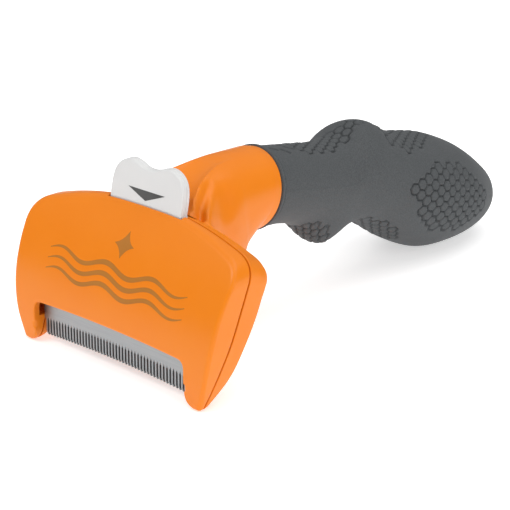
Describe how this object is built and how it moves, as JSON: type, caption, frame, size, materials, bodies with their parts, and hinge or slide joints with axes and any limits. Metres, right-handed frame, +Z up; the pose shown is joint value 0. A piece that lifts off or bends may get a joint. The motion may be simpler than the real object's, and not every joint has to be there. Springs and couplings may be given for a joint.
{
  "type": "deshedding tool",
  "caption": "Hand deshedding tool: wide orange head with a fine toothed steel blade, sprung hair ejector button and contoured grey rubber handle.",
  "frame": {"origin": "middle of the bounding box at the table surface, with the tool lying on its skids and the underside of its grip", "axes": "+Z up, +X across the head to the right seen from the front, +Y back along the handle"},
  "size_m": [0.0916, 0.1991, 0.0637],
  "materials": {
    "orange_shell": "satin",
    "white_button": "satin",
    "grip_rubber": "matte",
    "black_plastic": "matte",
    "blade_steel": "brushed",
    "spring_steel": "drawn",
    "zinc_fastener": "zinc plated",
    "brass_insert": "turned"
  },
  "bodies": {
    "root": {"front_cover": "orange_shell", "rear_housing": "orange_shell", "comb_blade": "blade_steel", "blade_clamp": "zinc_fastener", "blade_screw_1": "zinc_fastener", "blade_screw_2": "zinc_fastener", "blade_screw_3": "zinc_fastener", "housing_screw_1": "zinc_fastener", "housing_screw_2": "zinc_fastener", "housing_screw_3": "zinc_fastener", "housing_screw_4": "zinc_fastener", "return_spring_1": "spring_steel", "return_spring_2": "spring_steel", "handle_core_left": "black_plastic", "handle_core_right": "black_plastic", "core_screw_1": "zinc_fastener", "core_screw_2": "zinc_fastener", "core_screw_3": "zinc_fastener", "handle_screw": "zinc_fastener", "handle_insert": "brass_insert", "grip": "grip_rubber"},
    "ejector": {"ejector_button": "white_button", "ejector_link": "black_plastic", "ejector_bar": "black_plastic", "bar_rivet_1": "zinc_fastener", "bar_rivet_2": "zinc_fastener", "button_rivet_1": "zinc_fastener", "button_rivet_2": "zinc_fastener"}
  },
  "joints": [
    {"name": "ejector_slide", "type": "slide", "parent": "root", "child": "ejector", "axis": [0, 0, -1], "range_m": [0, 0.0115], "stiffness_N_per_m": 350, "deforming": ["return_spring_1", "return_spring_2"]}
  ]
}
